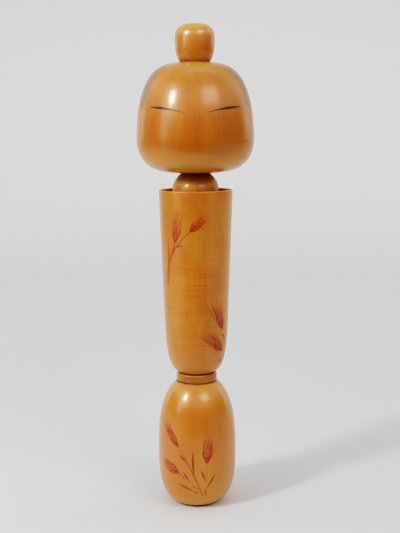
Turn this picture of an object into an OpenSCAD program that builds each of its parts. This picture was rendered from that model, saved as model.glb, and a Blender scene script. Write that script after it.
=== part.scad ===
// Kokeshi doll: six pieces turned on a lathe and pinned on one axis by three dowels.
// The origin is the centre of the base, +Z is up and the face looks along -Y.

/* [Whole doll] */
// Height from the base to the top of the topknot
doll_h = 303; // [300:1:306]

/* [Lower body] */
// Radius of the flat disc that the doll stands on
base_r = 12.5; // [10:0.5:14]
// Largest radius of the barrel
barrel_r = 24.85; // [22:0.05:27]
// Height of the widest place of the barrel
barrel_widest_z = 37.4; // [34:0.1:42]
// Height from the widest place to where the shoulder would close on the axis
barrel_shoulder_h = 46.2; // [44:0.1:50]
// Squareness of the foot of the barrel
barrel_foot_power = 3.27; // [2.5:0.01:4]
// Squareness of the shoulder of the barrel
barrel_shoulder_power = 2.5; // [2:0.01:3]

/* [Waist ring] */
// Largest radius of the ring between the two bodies
ring_r = 12.85; // [12:0.05:14]
// Height of the ring
ring_h = 5.3; // [4:0.1:7]
// How far the ring's edges are eased back from its largest radius
ring_ease = 0.7; // [0.3:0.1:1.2]
// Radius of the barrel's flat top, where the ring sits
ring_seat_r = 12.9; // [12.2:0.05:14]

/* [Upper body] */
// Height of the rim of the collar
rim_z = 201.6; // [198:0.1:203]
// Outer radius at the rim
rim_r = 23.2; // [22:0.1:25]
// Radius that the straight side would have at the ring
waist_r = 18.85; // [17:0.05:21]
// Height over which the lower end rounds in
round_h = 46.6; // [35:0.1:60]
// Squareness of the rounded lower end
round_power = 4.5; // [3:0.1:6]
// How far below the ring's top the rounding would close on the axis
round_sink = 0.4; // [0.2:0.1:1.5]
// Wall at the rim of the hollow collar
rim_wall = 1.2; // [1:0.1:2]
// Depth of the hollow collar
collar_depth = 14.6; // [12:0.1:18]
// Corner radius at the floor of the hollow collar
collar_corner_r = 5; // [3:0.5:6]

/* [Neck] */
// Radius of the neck ball
ball_r = 14.7; // [13.5:0.1:15.5]
// Height of the centre of the neck ball
ball_z = 200.2; // [199:0.1:201]

/* [Head] */
// Largest radius of the head
head_r = 36.5; // [34:0.1:39]
// Height of the widest place of the head
head_widest_z = 233.2; // [230:0.1:236]
// Height from the widest place to the crown
crown_h = 46.4; // [44:0.1:48]
// Height from the widest place down to the chin's flat
chin_h = 21.2; // [19:0.1:22]
// Power of the height in the head's outline
head_height_power = 2.05; // [1.8:0.05:2.5]
// Squareness of the head's outline
head_power = 4; // [3:0.1:5]

/* [Topknot] */
// Largest radius of the topknot
knot_r = 12.25; // [11:0.05:13.5]
// Height of the widest place of the topknot below its top
knot_cap_h = 9.8; // [8:0.1:11]
// Radius of the topknot's flat foot and of the flat that it sits on
knot_seat_r = 9.1; // [7:0.1:10.5]
// Squareness of the topknot's cap
knot_cap_power = 2.8; // [2:0.1:4]
// Squareness of the topknot's lower end
knot_foot_power = 2.6; // [2:0.1:4]

/* [Dowels] */
// Radius of the dowel through the waist ring
waist_dowel_r = 4; // [3:0.5:5]
// Radius of the dowel that carries the neck ball and the head
neck_dowel_r = 4.5; // [3.5:0.5:5]
// Radius of the dowel in the topknot
knot_dowel_r = 3; // [2:0.5:3.5]
// How deep the waist dowel enters each body
waist_dowel_depth = 20; // [12:1:28]
// How deep the neck dowel enters the upper body
neck_root_depth = 24; // [14:1:35]
// How deep the neck dowel enters the head
tenon_depth = 26; // [16:1:32]
// How deep the topknot's dowel enters the head and the topknot
knot_dowel_depth = 12; // [8:1:15]

/* [Fits] */
// Radial gap that the glue fills around a fixed dowel
glue_gap = 0.05; // [0.02:0.01:0.1]
// Radial gap of the turning head on the neck dowel
turn_gap = 0.06; // [0.02:0.01:0.1]
// Gap between the neck ball and the underside of the head
head_gap = 0.2; // [0.1:0.05:0.4]

/* [Hidden] */

$fn = 96;
steps = 28;
end_gap = 1;
dowel_chamfer = 0.8;

body_wood = "#C8862F";
head_wood = "#C98A35";
ring_wood = "#8A4A1C";
dowel_wood = "#D8B883";

// Share of the largest radius that is left at share t of the way to a rounded end
function radius_share(t, height_power, power) = pow(max(0, 1 - pow(t, height_power)), 1 / power);

// Share of the way to a rounded end where share s of the largest radius is left
function height_share(s, height_power, power) = pow(1 - pow(s, power), 1 / height_power);

// Outline of a rounded end, from the widest place to the share last of the way to where it closes
function rounded_end(r, z, h, height_power, power, last = 1) = [
    for (i = [0:steps])
        let (t = last * sin(90 * i / steps))
        [r * radius_share(t, height_power, power), z + h * t]
];

// The same outline from its last point to its first
function reversed(list) = [for (i = [len(list) - 1:-1:0]) list[i]];

// Shares of the way at which the rounded ends are cut flat
foot_cut = height_share(base_r / barrel_r, barrel_foot_power, barrel_foot_power);
shoulder_cut = height_share(ring_seat_r / barrel_r, barrel_shoulder_power, barrel_shoulder_power);
crown_cut = height_share(knot_seat_r / head_r, head_height_power, head_power);
knot_cut = height_share(knot_seat_r / knot_r, knot_foot_power, knot_foot_power);

// Heights where one piece sits on the next
ring_z = barrel_widest_z + barrel_shoulder_h * shoulder_cut;
waist_z = ring_z + ring_h;
collar_floor_z = rim_z - collar_depth;
chin_z = head_widest_z - chin_h;
knot_seat_z = head_widest_z + crown_h * crown_cut;
knot_widest_z = doll_h - knot_cap_h;

// Radius of the upper body's straight side at height z
function side_r(z) = waist_r + (rim_r - waist_r) * (z - waist_z) / (rim_z - waist_z);

// Solid turned on the doll's axis from half of its outline
module turned(outline) {
    rotate_extrude() polygon(outline);
}

// Round peg on the axis with both ends chamfered
module dowel(r, z_low, z_high) {
    turned([
        [0, z_low],
        [r - dowel_chamfer, z_low],
        [r, z_low + dowel_chamfer],
        [r, z_high - dowel_chamfer],
        [r - dowel_chamfer, z_high],
        [0, z_high]
    ]);
}

// Round cutter on the axis
module hole(r, z_low, z_high) {
    translate([0, 0, z_low]) cylinder(r = r, h = z_high - z_low);
}

// Barrel with a flat foot and a flat top that carries the ring
module lower_body() {
    foot_h = barrel_widest_z / foot_cut;
    foot = rounded_end(
        barrel_r, barrel_widest_z, -foot_h, barrel_foot_power, barrel_foot_power, foot_cut
    );
    shoulder = rounded_end(
        barrel_r, barrel_widest_z, barrel_shoulder_h, barrel_shoulder_power, barrel_shoulder_power,
        shoulder_cut
    );
    color(body_wood) difference() {
        turned(concat([[0, 0]], reversed(foot), [for (i = [1:steps]) shoulder[i]], [[0, ring_z]]));
        hole(waist_dowel_r + glue_gap, ring_z - waist_dowel_depth, ring_z + 1);
    }
}

// Bead of darker wood with eased edges
module waist_ring() {
    half_h = ring_h / 2;
    side = [
        for (a = [-90:15:90])
            [ring_r - ring_ease * (1 - radius_share(abs(sin(a)), 4, 2)), ring_z + half_h * (1 + sin(a))]
    ];
    color(ring_wood) difference() {
        turned(concat([[0, ring_z]], side, [[0, waist_z]]));
        hole(waist_dowel_r + glue_gap, ring_z - 1, waist_z + 1);
    }
}

// Dowel that pins the lower body, the ring and the upper body together
module waist_dowel() {
    color(dowel_wood) dowel(waist_dowel_r, ring_z - waist_dowel_depth, waist_z + waist_dowel_depth - end_gap);
}

// Tall tapered body whose top is turned out into a thin collar around the neck
module upper_body() {
    round_cut = 1 - round_sink / round_h;
    lower_end = [
        for (i = [0:steps])
            let (t = round_cut * sin(90 * i / steps))
            let (z = waist_z - round_sink + round_h * (1 - t))
            [side_r(z) * radius_share(t, round_power, round_power), z]
    ];
    lip_r = rim_wall / 2;
    lip_z = rim_z - lip_r;
    rim_lip = [for (a = [0:30:180]) [side_r(lip_z) + lip_r * (cos(a) - 1), lip_z + lip_r * sin(a)]];
    corner_z = collar_floor_z + collar_corner_r;
    corner = [
        for (a = [0:10:90])
            [side_r(corner_z) - rim_wall - collar_corner_r * (1 - cos(a)), corner_z - collar_corner_r * sin(a)]
    ];
    color(body_wood) difference() {
        turned(concat([[0, waist_z]], reversed(lower_end), rim_lip, corner, [[0, collar_floor_z]]));
        hole(waist_dowel_r + glue_gap, waist_z - 1, waist_z + waist_dowel_depth);
        hole(neck_dowel_r + glue_gap, collar_floor_z - neck_root_depth, collar_floor_z + 1);
    }
}

// Ball that fills the middle of the collar, flat where it sits and under the head
module neck_ball() {
    color(head_wood) difference() {
        intersection() {
            translate([0, 0, ball_z]) sphere(r = ball_r);
            hole(ball_r + 1, collar_floor_z, chin_z - head_gap);
        }
        hole(neck_dowel_r + glue_gap, collar_floor_z - 1, chin_z + 1);
    }
}

// Dowel glued into the upper body and the neck ball, on whose upper end the head turns
module neck_dowel() {
    color(dowel_wood) dowel(neck_dowel_r, collar_floor_z - neck_root_depth, chin_z + tenon_depth - end_gap);
}

// Wide head with a flat chin, bored from below for the neck dowel and from above for the topknot's
module head() {
    chin = rounded_end(head_r, head_widest_z, -chin_h, head_height_power, head_power);
    crown = rounded_end(head_r, head_widest_z, crown_h, head_height_power, head_power, crown_cut);
    color(head_wood) difference() {
        turned(concat(reversed(chin), [for (i = [1:steps]) crown[i]], [[0, knot_seat_z]]));
        hole(neck_dowel_r + turn_gap, chin_z - 1, chin_z + tenon_depth);
        hole(knot_dowel_r + glue_gap, knot_seat_z - knot_dowel_depth, knot_seat_z + 1);
    }
}

// Rounded knob of hair on the crown
module topknot() {
    foot_h = (knot_widest_z - knot_seat_z) / knot_cut;
    foot = rounded_end(knot_r, knot_widest_z, -foot_h, knot_foot_power, knot_foot_power, knot_cut);
    cap = rounded_end(knot_r, knot_widest_z, knot_cap_h, knot_cap_power, knot_cap_power);
    color(head_wood) difference() {
        turned(concat([[0, knot_seat_z]], reversed(foot), [for (i = [1:steps]) cap[i]]));
        hole(knot_dowel_r + glue_gap, knot_seat_z - 1, knot_seat_z + knot_dowel_depth);
    }
}

// Dowel that pins the topknot to the head
module topknot_dowel() {
    color(dowel_wood) dowel(
        knot_dowel_r, knot_seat_z - knot_dowel_depth, knot_seat_z + knot_dowel_depth - end_gap
    );
}

lower_body();
waist_ring();
waist_dowel();
upper_body();
neck_ball();
neck_dowel();
head();
topknot();
topknot_dowel();
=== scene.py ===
"""Looks of the kokeshi doll: smooth turned wood under varnish, brushwork and a plain studio.

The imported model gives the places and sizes. Each turned piece is made again as a smooth surface
of revolution with the same outline rule, and the brushwork lies in its surface as paint layers.
"""
import logging
import math
import random
from dataclasses import dataclass, field
from enum import Enum
from typing import Iterable

import bmesh
import bpy
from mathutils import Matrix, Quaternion, Vector


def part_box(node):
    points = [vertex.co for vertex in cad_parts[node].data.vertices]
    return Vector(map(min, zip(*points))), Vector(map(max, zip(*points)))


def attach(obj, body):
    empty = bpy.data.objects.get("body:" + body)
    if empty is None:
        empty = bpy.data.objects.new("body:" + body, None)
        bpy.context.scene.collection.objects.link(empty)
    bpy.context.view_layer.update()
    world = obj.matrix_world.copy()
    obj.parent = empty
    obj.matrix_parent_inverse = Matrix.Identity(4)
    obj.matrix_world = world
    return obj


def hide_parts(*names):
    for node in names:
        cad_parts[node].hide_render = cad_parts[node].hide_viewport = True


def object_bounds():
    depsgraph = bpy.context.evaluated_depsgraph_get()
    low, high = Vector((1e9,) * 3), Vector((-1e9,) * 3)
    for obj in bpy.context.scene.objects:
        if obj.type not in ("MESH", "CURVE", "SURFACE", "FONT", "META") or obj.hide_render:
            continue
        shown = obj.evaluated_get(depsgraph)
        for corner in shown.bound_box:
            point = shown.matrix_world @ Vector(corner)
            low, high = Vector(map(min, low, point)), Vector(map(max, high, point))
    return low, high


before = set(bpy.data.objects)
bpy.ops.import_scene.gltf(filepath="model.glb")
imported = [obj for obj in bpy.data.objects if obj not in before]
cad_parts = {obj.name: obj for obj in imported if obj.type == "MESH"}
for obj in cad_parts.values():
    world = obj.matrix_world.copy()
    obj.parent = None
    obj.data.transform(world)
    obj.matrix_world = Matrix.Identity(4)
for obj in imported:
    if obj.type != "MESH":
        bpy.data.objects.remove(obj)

CAD_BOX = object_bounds()
MM = 0.001
GLUE_GAP = 0.05 * MM
TURN_GAP = 0.06 * MM
BLIND_END_GAP = 1.0 * MM

log = logging.getLogger("kokeshi")

Colour = tuple[float, float, float]
Outline = list[tuple[float, float]]
Place = tuple[float, float]


class Layer(Enum):
    """Paint layers that a piece's vertices carry, by attribute name."""

    WASH = "red_wash"
    STREAK = "red_streak"
    LINE = "brown_line"
    EYE = "eye_line"


# ---------------------------------------------------------------------------------------------
# Node trees
# ---------------------------------------------------------------------------------------------


class NodeSheet:
    """Adds nodes to one tree and links them as they are made."""

    def __init__(self, tree: bpy.types.NodeTree) -> None:
        """Keeps the tree.

        Args:
            tree: The node tree to write into.
        """
        self.tree = tree

    def add(self, kind: str, inputs: dict | None = None, **settings: object) -> bpy.types.Node:
        """Adds a node, sets its properties and fills or links its inputs.

        Args:
            kind: The node's type name.
            inputs: Socket name or number to a value or to another node's output.
            settings: Properties of the node.

        Returns:
            The new node.
        """
        node = self.tree.nodes.new(kind)
        for name, value in settings.items():
            setattr(node, name, value)
        for key, value in (inputs or {}).items():
            self.fill(node.inputs[key], value)
        return node

    def fill(self, socket: bpy.types.NodeSocket, value: object) -> None:
        """Links an output to the socket, or sets the socket's own value.

        Args:
            socket: The input socket.
            value: An output socket, a number, a vector or a colour.
        """
        if isinstance(value, bpy.types.NodeSocket):
            self.tree.links.new(value, socket)
        elif socket.type == "RGBA" and len(value) == 3:
            socket.default_value = (*value, 1.0)
        else:
            socket.default_value = value

    def math(self, operation: str, *values: object, clamp: bool = False) -> bpy.types.NodeSocket:
        """One Math node.

        Args:
            operation: The node's operation.
            values: Its inputs in order.
            clamp: Whether the result is held between 0 and 1.

        Returns:
            The result's socket.
        """
        inputs = dict(enumerate(values))
        return self.add("ShaderNodeMath", inputs, operation=operation, use_clamp=clamp).outputs[0]

    def smooth(self, value: object, low: object, high: object, kind: str = "SMOOTHSTEP"
               ) -> bpy.types.NodeSocket:
        """Maps a value from low..high to 0..1, held at both ends.

        Args:
            value: What is mapped.
            low: Where the result is 0.
            high: Where the result is 1.
            kind: The interpolation of the Map Range node.

        Returns:
            The result's socket.
        """
        node = self.add(
            "ShaderNodeMapRange", {"Value": value, "From Min": low, "From Max": high},
            interpolation_type=kind,
        )
        return node.outputs["Result"]

    def mix(self, share: object, first: object, second: object, blend: str = "MIX"
            ) -> bpy.types.NodeSocket:
        """Mixes two colours.

        Args:
            share: Share of the second colour.
            first: First colour.
            second: Second colour.
            blend: The blend type.

        Returns:
            The colour's socket.
        """
        node = self.add("ShaderNodeMix", data_type="RGBA", blend_type=blend)
        self.fill(node.inputs[0], share)
        self.fill(node.inputs[6], first)
        self.fill(node.inputs[7], second)
        return node.outputs[2]

    def stretched(self, vector: object, scale: Colour, location: Colour = (0, 0, 0),
                  rotation: Colour = (0, 0, 0)) -> bpy.types.NodeSocket:
        """Passes a place through a Mapping node.

        Args:
            vector: The place.
            scale: Factor on each axis.
            location: Shift after scaling.
            rotation: Turn in radians.

        Returns:
            The mapped place's socket.
        """
        inputs = {"Vector": vector, "Scale": scale, "Location": location, "Rotation": rotation}
        return self.add("ShaderNodeMapping", inputs).outputs["Vector"]

    def noise(self, vector: object, scale: float, detail: float = 2.0, rough: float = 0.5
              ) -> bpy.types.NodeSocket:
        """Noise between 0 and 1.

        Args:
            vector: The place.
            scale: Spots per metre.
            detail: Octaves.
            rough: How strong the finer octaves are.

        Returns:
            The noise's socket.
        """
        inputs = {"Vector": vector, "Scale": scale, "Detail": detail, "Roughness": rough}
        return self.add("ShaderNodeTexNoise", inputs).outputs[0]

    def ramp(self, value: object, stops: Iterable[tuple[float, Colour]]) -> bpy.types.NodeSocket:
        """Turns a value into a colour.

        Args:
            value: The value.
            stops: Places on the ramp and their colours, in order.

        Returns:
            The colour's socket.
        """
        node = self.add("ShaderNodeValToRGB", {"Fac": value})
        elements = node.color_ramp.elements
        stops = list(stops)
        while len(elements) < len(stops):
            elements.new(0.5)
        for element, (place, colour) in zip(elements, stops):
            element.position = place
            element.color = (*colour, 1.0)
        return node.outputs["Color"]

    def layer(self, layer: Layer) -> bpy.types.NodeSocket:
        """Reads one paint layer of the piece.

        Args:
            layer: The paint layer.

        Returns:
            The socket of its density.
        """
        return self.add("ShaderNodeAttribute", attribute_name=layer.value).outputs["Fac"]


def new_group(name: str, sockets: dict[str, str]) -> tuple[bpy.types.NodeTree, dict[str, str]]:
    """Starts a Geometry Nodes tree with a geometry in, a geometry out and named inputs.

    Args:
        name: The tree's name.
        sockets: Input name to socket type.

    Returns:
        The tree, and the identifier of each named input.
    """
    tree = bpy.data.node_groups.new(name, "GeometryNodeTree")
    tree.interface.new_socket("Geometry", in_out="INPUT", socket_type="NodeSocketGeometry")
    tree.interface.new_socket("Geometry", in_out="OUTPUT", socket_type="NodeSocketGeometry")
    identifiers = {}
    for label, kind in sockets.items():
        socket = tree.interface.new_socket(label, in_out="INPUT", socket_type=kind)
        identifiers[label] = socket.identifier
    return tree, identifiers


class GeometryTool:
    """A Geometry Nodes tree that is built once and used as a modifier."""

    name: str = ""
    sockets: dict[str, str] = {}

    def __init__(self) -> None:
        """Builds the tree."""
        self.tree, self.identifiers = new_group(self.name, self.sockets)
        sheet = NodeSheet(self.tree)
        source = sheet.add("NodeGroupInput")
        result = self.build(sheet, source)
        sheet.add("NodeGroupOutput", {"Geometry": result})

    def build(self, sheet: NodeSheet, source: bpy.types.Node) -> bpy.types.NodeSocket:
        """Fills the tree.

        Args:
            sheet: Where nodes are added.
            source: The group's input node.

        Returns:
            The finished geometry's socket.
        """
        raise NotImplementedError

    def fit(self, thing: bpy.types.Object, values: dict[str, object]) -> None:
        """Puts the tool on an object as a modifier.

        Args:
            thing: The object.
            values: Input name to its value.
        """
        modifier = thing.modifiers.new(self.name, "NODES")
        modifier.node_group = self.tree
        for label, value in values.items():
            modifier[self.identifiers[label]] = value


class Lathe(GeometryTool):
    """Revolves an outline about +Z, with finer columns over the painted side."""

    name = "Lathe"
    sockets = {
        "Columns": "NodeSocketInt",
        "Fine columns": "NodeSocketInt",
        "Fine centre": "NodeSocketFloat",
        "Fine half angle": "NodeSocketFloat",
        "Crease angle": "NodeSocketFloat",
        "Finish": "NodeSocketMaterial",
    }

    def build(self, sheet: NodeSheet, source: bpy.types.Node) -> bpy.types.NodeSocket:
        """Lays a grid along the outline and round the axis.

        Args:
            sheet: Where nodes are added.
            source: The group's input node.

        Returns:
            The finished geometry's socket.
        """
        outline = source.outputs["Geometry"]
        count = sheet.add("GeometryNodeAttributeDomainSize", {"Geometry": outline}).outputs[0]
        columns = source.outputs["Columns"]
        grid = sheet.add("GeometryNodeMeshGrid", {
            "Size X": 1.0, "Size Y": 1.0,
            "Vertices X": sheet.math("ADD", columns, 1.0), "Vertices Y": count,
        }).outputs["Mesh"]
        place = sheet.add("GeometryNodeInputPosition").outputs[0]
        parts = sheet.add("ShaderNodeSeparateXYZ", {0: place})
        turn = sheet.math("ADD", parts.outputs["X"], 0.5)
        last = sheet.math("SUBTRACT", count, 1.0)
        row = sheet.math("ROUND", sheet.math("MULTIPLY", sheet.math("ADD", parts.outputs["Y"], 0.5), last))
        point = sheet.add("GeometryNodeSampleIndex", {
            "Geometry": outline, "Value": place, "Index": row,
        }, data_type="FLOAT_VECTOR")
        radius_height = sheet.add("ShaderNodeSeparateXYZ", {0: point.outputs[0]})
        angle = self.column_angle(sheet, source, turn)
        radius = radius_height.outputs["X"]
        turned = sheet.add("ShaderNodeCombineXYZ", {
            "X": sheet.math("MULTIPLY", radius, sheet.math("SINE", angle)),
            "Y": sheet.math("MULTIPLY", sheet.math("MULTIPLY", radius, sheet.math("COSINE", angle)), -1.0),
            "Z": radius_height.outputs["Z"],
        }).outputs[0]
        shell = sheet.add("GeometryNodeSetPosition", {"Geometry": grid, "Position": turned}).outputs[0]
        closed = sheet.add("GeometryNodeMergeByDistance", {"Geometry": shell, "Distance": 1e-6}).outputs[0]
        bend = sheet.add("GeometryNodeInputMeshEdgeAngle").outputs["Unsigned Angle"]
        soft = sheet.add("FunctionNodeCompare", {0: bend, 1: source.outputs["Crease angle"]},
                         operation="LESS_THAN").outputs[0]
        faces = sheet.add("GeometryNodeSetShadeSmooth", {"Geometry": closed}, domain="FACE").outputs[0]
        edges = sheet.add("GeometryNodeSetShadeSmooth", {"Geometry": faces, "Shade Smooth": soft},
                          domain="EDGE").outputs[0]
        real = sheet.add("GeometryNodeRealizeInstances", {"Geometry": edges}).outputs[0]
        dressed = sheet.add("GeometryNodeSetMaterial", {
            "Geometry": real, "Material": source.outputs["Finish"],
        })
        return dressed.outputs[0]

    @staticmethod
    def column_angle(sheet: NodeSheet, source: bpy.types.Node, turn: bpy.types.NodeSocket
                     ) -> bpy.types.NodeSocket:
        """Angle of a column: the fine share crosses the painted side, the rest goes round the back.

        Args:
            sheet: Where nodes are added.
            source: The group's input node.
            turn: Share of the way along the columns.

        Returns:
            The angle's socket, in radians from the front.
        """
        half = source.outputs["Fine half angle"]
        centre = source.outputs["Fine centre"]
        share = sheet.math("DIVIDE", source.outputs["Fine columns"], source.outputs["Columns"])
        low = sheet.math("SUBTRACT", centre, half)
        high = sheet.math("ADD", centre, half)
        closing = sheet.math("ADD", low, math.tau)
        front = sheet.add("ShaderNodeMapRange", {
            "Value": turn, "From Min": 0.0, "From Max": share, "To Min": low, "To Max": high,
        }).outputs["Result"]
        back = sheet.add("ShaderNodeMapRange", {
            "Value": turn, "From Min": share, "From Max": 1.0, "To Min": high, "To Max": closing,
        }).outputs["Result"]
        behind = sheet.math("GREATER_THAN", turn, sheet.math("ADD", share, 1e-6))
        step = sheet.math("MULTIPLY", behind, sheet.math("SUBTRACT", back, front))
        return sheet.math("ADD", front, step)


class Brush(GeometryTool):
    """Writes the density of paint along stroke curves onto a surface's points."""

    name = "Brush"
    sockets = {
        "Strokes": "NodeSocketObject",
        "Softness": "NodeSocketFloat",
        "Layer": "NodeSocketString",
    }
    spacing = 0.15 * MM

    def build(self, sheet: NodeSheet, source: bpy.types.Node) -> bpy.types.NodeSocket:
        """Finds the nearest stroke point of each vertex and compares its distance to the width.

        Args:
            sheet: Where nodes are added.
            source: The group's input node.

        Returns:
            The finished geometry's socket.
        """
        strokes = sheet.add("GeometryNodeObjectInfo", {"Object": source.outputs["Strokes"]},
                            transform_space="RELATIVE").outputs["Geometry"]
        fine = sheet.add("GeometryNodeResampleCurve", {"Curve": strokes, "Length": self.spacing},
                         mode="LENGTH").outputs[0]
        tilt = sheet.add("GeometryNodeInputCurveTilt").outputs[0]
        loaded = sheet.add("GeometryNodeStoreNamedAttribute", {
            "Geometry": fine, "Name": "load", "Value": tilt,
        }, data_type="FLOAT", domain="POINT").outputs[0]
        points = sheet.add("GeometryNodeCurveToPoints", {"Curve": loaded}, mode="EVALUATED").outputs[0]
        nearest = sheet.add("GeometryNodeSampleNearest", {"Geometry": points}).outputs[0]
        place = sheet.add("GeometryNodeInputPosition").outputs[0]
        stroke_place = self.sample(sheet, points, nearest, place, "FLOAT_VECTOR")
        half_width = self.sample(sheet, points, nearest, self.read(sheet, "radius"), "FLOAT")
        load = self.sample(sheet, points, nearest, self.read(sheet, "load"), "FLOAT")
        away = sheet.add("ShaderNodeVectorMath", {0: place, 1: stroke_place},
                         operation="DISTANCE").outputs["Value"]
        depth = sheet.math("DIVIDE", sheet.math("SUBTRACT", half_width, away), source.outputs["Softness"])
        cover = sheet.math("ADD", depth, 0.5, clamp=True)
        painted = sheet.add("GeometryNodeStoreNamedAttribute", {
            "Geometry": source.outputs["Geometry"],
            "Name": source.outputs["Layer"],
            "Value": sheet.math("MULTIPLY", cover, load),
        }, data_type="FLOAT", domain="POINT")
        return painted.outputs[0]

    @staticmethod
    def read(sheet: NodeSheet, name: str) -> bpy.types.NodeSocket:
        """Reads a named number of the stroke points.

        Args:
            sheet: Where nodes are added.
            name: The attribute's name.

        Returns:
            The socket of its value.
        """
        return sheet.add("GeometryNodeInputNamedAttribute", {"Name": name}, data_type="FLOAT").outputs[0]

    @staticmethod
    def sample(sheet: NodeSheet, points: bpy.types.NodeSocket, index: bpy.types.NodeSocket,
               value: bpy.types.NodeSocket, kind: str) -> bpy.types.NodeSocket:
        """Reads a value at one stroke point.

        Args:
            sheet: Where nodes are added.
            points: The stroke points.
            index: Which point.
            value: What is read.
            kind: The value's data type.

        Returns:
            The socket of the value there.
        """
        node = sheet.add("GeometryNodeSampleIndex", {"Geometry": points, "Value": value, "Index": index},
                         data_type=kind)
        return node.outputs[0]


# ---------------------------------------------------------------------------------------------
# Finishes
# ---------------------------------------------------------------------------------------------


GOLD = (0.58, 0.29, 0.045)
# Pale gold painted on faces turned down, as painted bounce light from the table.
PALE_GOLD = (0.82, 0.37, 0.055)
# Brown gold painted on the head's dome, as painted light from above.
BROWN_GOLD = (0.39, 0.20, 0.030)
# Dark brown of the bands at joints: dirt in the joint and painted shade.
DARK_BROWN = (0.105, 0.026, 0.004)
HAIR_WASH = (0.085, 0.078, 0.036)


@dataclass(frozen=True)
class Wood:
    """Turned wood: growth rings, fibre, tool marks, a painted sheen, painted light on faces turned up and
    down and, where it has one, a clear varnish.
    """

    name: str
    deep: Colour
    middle: Colour
    light: Colour
    pith: tuple[float, float, float] = (0.030, 0.045, 0.0)
    ring_strength: float = 0.05
    fibre_strength: float = 0.14
    cloud_strength: float = 0.60
    figure_strength: float = 0.55
    roughness: float = 0.38
    specular: float = 0.80
    varnish: float = 0.75
    varnish_roughness: float = 0.18
    tool_marks: float = 0.4
    # Heights of dark bands at joints, partly dirt in the joint and partly painted shade.
    joint_dirt_and_shade: tuple[float, ...] = ()
    edge_reach: float = 0.0016
    edge_strength: float = 0.75
    # Strength of the gold sheen painted towards the grazing edges, a painted reflection.
    painted_sheen: float = 0.70
    # Share of pale gold painted on faces turned down, as painted bounce light from the table.
    painted_underside_light: float = 0.50
    # Share of the crown colour painted on faces turned up, as painted light from above.
    painted_crown_light: float = 0.50
    crown_colour: Colour = GOLD
    golden_patches: float = 0.30
    painted: tuple[Layer, ...] = ()
    hair: bool = False

    def material(self) -> bpy.types.Material:
        """Builds the finish as a material.

        Returns:
            The material.
        """
        material = bpy.data.materials.new(self.name)
        material.use_nodes = True
        material.node_tree.nodes.clear()
        sheet = NodeSheet(material.node_tree)
        place = sheet.add("ShaderNodeTexCoord").outputs["Object"]
        fibre = sheet.noise(sheet.stretched(place, (1, 1, 0.035)), 1500.0, 3.0, 0.6)
        marks = self.tool_mark_height(sheet, place)
        colour = self.wood_colour(sheet, place, fibre, marks)
        if self.hair:
            colour = self.hair_wash(sheet, place, colour)
        colour, bare = self.paint(sheet, place, colour)
        gloss = sheet.noise(place, 70.0, 3.0)
        rough = sheet.math("ADD", self.roughness - 0.05, sheet.math("MULTIPLY", gloss, 0.10))
        shader = sheet.add("ShaderNodeBsdfPrincipled", {
            "Base Color": colour,
            "Roughness": rough,
            "IOR": 1.5,
            "Specular IOR Level": self.specular,
            "Specular Tint": (1.0, 0.98, 0.80, 1.0),
            "Coat Weight": sheet.math("MULTIPLY", self.varnish, bare) if self.painted else self.varnish,
            "Coat Roughness": self.varnish_roughness,
            "Coat IOR": 1.5,
            "Normal": self.surface(sheet, fibre, marks),
            "Coat Normal": self.varnish_surface(sheet, place, marks),
        })
        sheet.add("ShaderNodeOutputMaterial", {"Surface": shader.outputs[0]})
        return material

    def wood_colour(self, sheet: NodeSheet, place: bpy.types.NodeSocket, fibre: bpy.types.NodeSocket,
                    marks: bpy.types.NodeSocket) -> bpy.types.NodeSocket:
        """Colour of the wood as it shows through the varnish, with a painted sheen, painted light on faces
        turned up and down and dark bands at joints.

        Args:
            sheet: Where nodes are added.
            place: Object coordinates.
            fibre: Height of the fibre.
            marks: Height of the tool marks.

        Returns:
            The colour's socket.
        """
        bent = sheet.stretched(place, (1, 1, 0.22), self.pith, (0.05, 0.03, 0.0))
        rings = sheet.add("ShaderNodeTexWave", {
            "Vector": bent, "Scale": 110.0, "Distortion": 2.2, "Detail": 2.0, "Detail Scale": 0.8,
        }, wave_type="RINGS", rings_direction="Z", wave_profile="SIN").outputs["Fac"]
        cloud = sheet.noise(sheet.stretched(place, (1, 1, 0.6)), 26.0, 2.0)
        figure = sheet.noise(sheet.stretched(place, (1, 1, 0.22)), 120.0, 2.0)
        tone = self.weighted(sheet, 0.5, (
            (rings, self.ring_strength), (fibre, self.fibre_strength), (cloud, self.cloud_strength),
            (figure, self.figure_strength), (marks, 0.42 * self.tool_marks),
        ))
        colour = sheet.ramp(tone, ((0.15, self.deep), (0.5, self.middle), (0.85, self.light)))
        if self.painted_sheen:
            # Painted sheen: gold painted in towards the grazing edges, as a painted reflection of the pale
            # room.
            facing = sheet.add("ShaderNodeLayerWeight", {"Blend": 0.5}).outputs["Facing"]
            graze = sheet.math("MULTIPLY", sheet.math("POWER", facing, 1.7), self.painted_sheen)
            colour = sheet.mix(graze, colour, GOLD)
            # Painted light: faces turned up take the crown colour and faces turned down are painted paler,
            # by the way they face the light.
            normal = sheet.add("ShaderNodeTexCoord").outputs["Normal"]
            upward = sheet.add("ShaderNodeSeparateXYZ", {0: normal}).outputs["Z"]
            crown = sheet.math("MULTIPLY", sheet.smooth(upward, 0.10, 0.90), self.painted_crown_light)
            under = sheet.math("MULTIPLY", sheet.smooth(upward, -0.10, -0.90), self.painted_underside_light)
            colour = sheet.mix(crown, colour, self.crown_colour)
            colour = sheet.mix(under, colour, PALE_GOLD)
            patches = sheet.noise(sheet.stretched(place, (1, 1, 0.8), (0.3, 0.1, 0.2)), 70.0, 3.0)
            patches = sheet.math("MULTIPLY", sheet.smooth(patches, 0.45, 0.62), self.golden_patches)
            colour = sheet.mix(patches, colour, GOLD)
        # Dark bands at joints: dirt in the joint and painted shade where one part meets another.
        for height in self.joint_dirt_and_shade:
            edge = self.near(sheet, place, height)
            colour = sheet.mix(edge, colour, DARK_BROWN)
        return colour

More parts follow.
